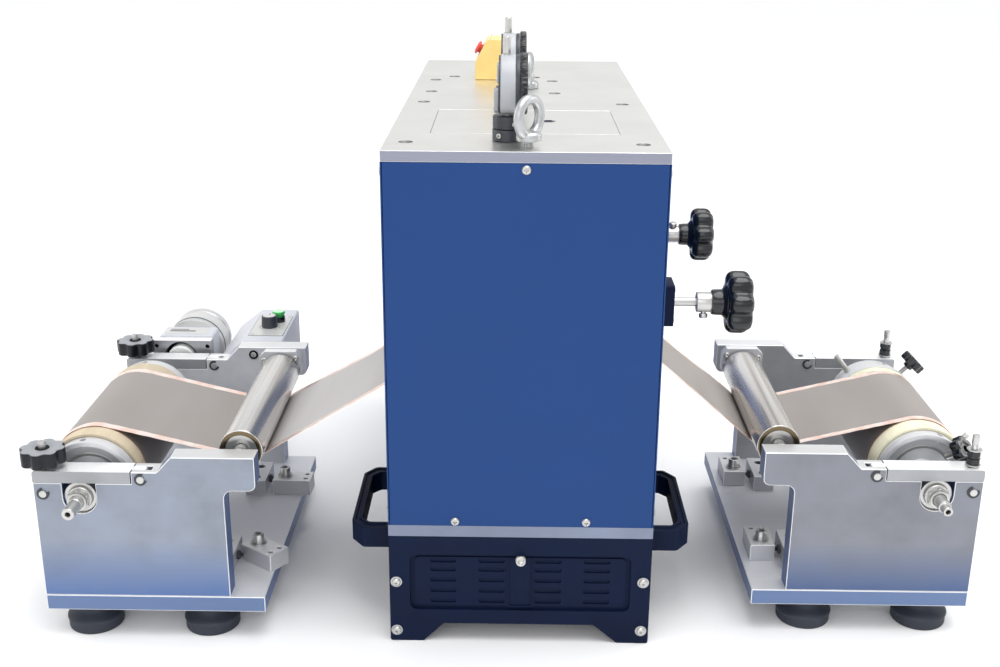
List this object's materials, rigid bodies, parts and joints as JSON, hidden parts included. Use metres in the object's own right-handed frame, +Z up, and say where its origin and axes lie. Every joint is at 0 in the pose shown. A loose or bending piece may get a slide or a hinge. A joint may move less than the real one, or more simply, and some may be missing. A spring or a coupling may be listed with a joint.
{
  "type": "roll press with winding stands",
  "caption": "Benchtop roll press cabinet with gap handwheels, dial indicators and lifting eyes, fed by a coated foil web between an unwind stand and a motorised rewind stand",
  "frame": {"origin": "centre of the footprint of the whole machine, on the bench top", "axes": "+X runs along the foil web from the rewind stand to the unwind stand, +Y runs away from the near end panel towards the drive end, +Z is up"},
  "size_m": [1.0352, 0.751, 0.64],
  "materials": {
    "aluminium": "fine machined, satin",
    "black_plastic": "fine textured moulding",
    "blue_paint": "smooth satin powder coat",
    "cast_iron": "machined casting",
    "chrome": "ground and plated",
    "core_board": "plain spiral-wound board",
    "foil": "matt grey coating on copper, bare copper edges",
    "gloss_black": "polished phenolic",
    "green_plastic": "gloss moulding",
    "grey_metal": "fine cast, satin paint",
    "red_plastic": "gloss moulding",
    "satin_steel": "satin ground",
    "yellow_plastic": "semi-gloss moulding"
  },
  "bodies": {
    "machine": {"base_housing": "black_plastic", "handle_left": "black_plastic", "handle_right": "black_plastic", "bed_plate": "satin_steel", "top_plate": "satin_steel", "top_hatch": "satin_steel", "eyebolt_near": "satin_steel", "eyebolt_far": "satin_steel", "end_panel_near": "blue_paint", "end_panel_far": "blue_paint", "side_panel_left": "blue_paint", "side_panel_right": "blue_paint", "roll_frame": "cast_iron", "drive_gearmotor": "grey_metal", "gauge_body_near": "grey_metal", "gauge_body_far": "grey_metal", "rewind_gearmotor": "grey_metal", "control_box": "grey_metal", "estop_box": "yellow_plastic", "foil_web": "foil", "rewind_base": "aluminium", "rewind_plate_near": "aluminium", "rewind_plate_far": "aluminium", "rewind_bar_near": "aluminium", "rewind_bar_far": "aluminium", "unwind_base": "aluminium", "unwind_plate_near": "aluminium", "unwind_plate_far": "aluminium", "unwind_bar_near": "aluminium", "unwind_bar_far": "aluminium"},
    "lower_roll": {"lower_roll": "chrome"},
    "upper_roll": {"upper_roll": "chrome"},
    "carriage": {"roll_carriage": "cast_iron"},
    "gap_wheel_near": {"gap_wheel_near": "gloss_black"},
    "gap_wheel_far": {"gap_wheel_far": "gloss_black"},
    "estop_button": {"estop_button": "red_plastic"},
    "gauge_bezel_near": {"gauge_bezel_near": "gloss_black"},
    "gauge_bezel_far": {"gauge_bezel_far": "gloss_black"},
    "gauge_spindle_near": {"gauge_spindle_near": "satin_steel"},
    "gauge_spindle_far": {"gauge_spindle_far": "satin_steel"},
    "rewind_reel": {"rewind_shaft": "aluminium", "rewind_core": "core_board"},
    "unwind_reel": {"unwind_shaft": "aluminium", "unwind_core": "core_board", "unwind_lock_near": "gloss_black", "unwind_lock_far": "gloss_black"},
    "rewind_guide": {"rewind_guide_roller": "chrome"},
    "unwind_guide": {"unwind_guide_roller": "chrome"},
    "speed_knob": {"speed_knob": "gloss_black"},
    "run_button": {"run_button": "green_plastic"},
    "rewind_bolt_near": {"rewind_bolt_near": "satin_steel"},
    "rewind_block_near": {"rewind_block_near": "aluminium"},
    "rewind_bolt_far": {"rewind_bolt_far": "satin_steel"},
    "rewind_block_far": {"rewind_block_far": "aluminium"},
    "unwind_bolt_near": {"unwind_bolt_near": "satin_steel"},
    "unwind_block_near": {"unwind_block_near": "aluminium"},
    "unwind_bolt_far": {"unwind_bolt_far": "satin_steel"},
    "unwind_block_far": {"unwind_block_far": "aluminium"},
    "rewind_knob_near": {"rewind_knob_near": "gloss_black"},
    "rewind_knob_far": {"rewind_knob_far": "gloss_black"}
  },
  "joints": [
    {"name": "lower_roll_spin", "type": "hinge", "parent": "machine", "child": "lower_roll", "pos_m": [0.0084, -0.1705, 0.305], "axis": [0, 1, 0], "continuous": true},
    {"name": "roll_gap", "type": "slide", "parent": "machine", "child": "carriage", "axis": [0, 0, 1], "range_m": [0, 0.002]},
    {"name": "upper_roll_spin", "type": "hinge", "parent": "carriage", "child": "upper_roll", "pos_m": [0.0084, -0.1705, 0.4061], "axis": [0, 1, 0], "continuous": true},
    {"name": "rewind_reel_spin", "type": "hinge", "parent": "machine", "child": "rewind_reel", "pos_m": [-0.4556, -0.1545, 0.167], "axis": [0, 1, 0], "continuous": true},
    {"name": "unwind_reel_spin", "type": "hinge", "parent": "machine", "child": "unwind_reel", "pos_m": [0.4524, -0.1245, 0.167], "axis": [0, 1, 0], "continuous": true},
    {"name": "rewind_guide_spin", "type": "hinge", "parent": "machine", "child": "rewind_guide", "pos_m": [-0.2906, -0.1545, 0.208], "axis": [0, 1, 0], "continuous": true},
    {"name": "unwind_guide_spin", "type": "hinge", "parent": "machine", "child": "unwind_guide", "pos_m": [0.2874, -0.1245, 0.208], "axis": [0, 1, 0], "continuous": true},
    {"name": "gap_wheel_near_turn", "type": "hinge", "parent": "machine", "child": "gap_wheel_near", "pos_m": [0.2034, -0.2775, 0.372], "axis": [1, 0, 0], "range_deg": [0, 720]},
    {"name": "gap_wheel_far_turn", "type": "hinge", "parent": "machine", "child": "gap_wheel_far", "pos_m": [0.2034, 0.0025, 0.372], "axis": [1, 0, 0], "range_deg": [0, 720]},
    {"name": "gauge_near_stroke", "type": "slide", "parent": "machine", "child": "gauge_spindle_near", "axis": [0, 0, 1], "range_m": [0, 0.002]},
    {"name": "gauge_far_stroke", "type": "slide", "parent": "machine", "child": "gauge_spindle_far", "axis": [0, 0, 1], "range_m": [0, 0.002]},
    {"name": "gauge_near_bezel_turn", "type": "hinge", "parent": "machine", "child": "gauge_bezel_near", "pos_m": [0.0044, -0.2745, 0.5945], "axis": [1, 0, 0], "range_deg": [-170, 170]},
    {"name": "gauge_far_bezel_turn", "type": "hinge", "parent": "machine", "child": "gauge_bezel_far", "pos_m": [0.0044, -0.0675, 0.5945], "axis": [1, 0, 0], "range_deg": [-170, 170]},
    {"name": "estop_press", "type": "slide", "parent": "machine", "child": "estop_button", "axis": [0.8815, 0, -0.4722], "range_m": [0, 0.003]},
    {"name": "rewind_bolt_near_swing", "type": "hinge", "parent": "machine", "child": "rewind_bolt_near", "pos_m": [-0.4936, -0.3255, 0.172], "axis": [0, -1, 0], "range_deg": [0, 95]},
    {"name": "rewind_bolt_far_swing", "type": "hinge", "parent": "machine", "child": "rewind_bolt_far", "pos_m": [-0.4936, 0.0165, 0.172], "axis": [0, -1, 0], "range_deg": [0, 95]},
    {"name": "unwind_bolt_near_swing", "type": "hinge", "parent": "machine", "child": "unwind_bolt_near", "pos_m": [0.4904, -0.2955, 0.172], "axis": [0, 1, 0], "range_deg": [0, 95]},
    {"name": "unwind_bolt_far_swing", "type": "hinge", "parent": "machine", "child": "unwind_bolt_far", "pos_m": [0.4904, 0.0465, 0.172], "axis": [0, 1, 0], "range_deg": [0, 95]},
    {"name": "rewind_knob_near_turn", "type": "hinge", "parent": "rewind_bolt_near", "child": "rewind_knob_near", "pos_m": [-0.4936, -0.3255, 0.203], "axis": [0, 0, 1], "range_deg": [0, 360]},
    {"name": "rewind_knob_far_turn", "type": "hinge", "parent": "rewind_bolt_far", "child": "rewind_knob_far", "pos_m": [-0.4936, 0.0165, 0.203], "axis": [0, 0, 1], "range_deg": [0, 360]},
    {"name": "rewind_block_near_swivel", "type": "hinge", "parent": "machine", "child": "rewind_block_near", "pos_m": [-0.2886, -0.2525, 0.051], "axis": [0, 0, 1], "range_deg": [-40, 40]},
    {"name": "rewind_block_far_swivel", "type": "hinge", "parent": "machine", "child": "rewind_block_far", "pos_m": [-0.2886, -0.0755, 0.051], "axis": [0, 0, 1], "range_deg": [-40, 40]},
    {"name": "unwind_block_near_swivel", "type": "hinge", "parent": "machine", "child": "unwind_block_near", "pos_m": [0.2859, -0.2295, 0.051], "axis": [0, 0, 1], "range_deg": [0, 85]},
    {"name": "unwind_block_far_swivel", "type": "hinge", "parent": "machine", "child": "unwind_block_far", "pos_m": [0.2859, -0.0335, 0.051], "axis": [0, 0, 1], "range_deg": [0, 85]},
    {"name": "speed_knob_turn", "type": "hinge", "parent": "machine", "child": "speed_knob", "pos_m": [-0.3311, 0.0865, 0.2161], "axis": [0, 0, 1], "range_deg": [-135, 135]},
    {"name": "run_button_press", "type": "slide", "parent": "machine", "child": "run_button", "axis": [0, 0, -1], "range_m": [0, 0.0025]}
  ],
  "couplings": [
    {"joint": "upper_roll_spin", "follows": "lower_roll_spin", "ratio": -1},
    {"joint": "rewind_reel_spin", "follows": "lower_roll_spin", "ratio": 0.9542},
    {"joint": "unwind_reel_spin", "follows": "lower_roll_spin", "ratio": 0.9542},
    {"joint": "rewind_guide_spin", "follows": "lower_roll_spin", "ratio": -2.1277},
    {"joint": "unwind_guide_spin", "follows": "lower_roll_spin", "ratio": -2.1277},
    {"joint": "gap_wheel_near_turn", "follows": "roll_gap", "rad_per_m": 6283},
    {"joint": "gap_wheel_far_turn", "follows": "roll_gap", "rad_per_m": 6283},
    {"joint": "gauge_near_stroke", "follows": "roll_gap", "ratio": 1},
    {"joint": "gauge_far_stroke", "follows": "roll_gap", "ratio": 1}
  ]
}
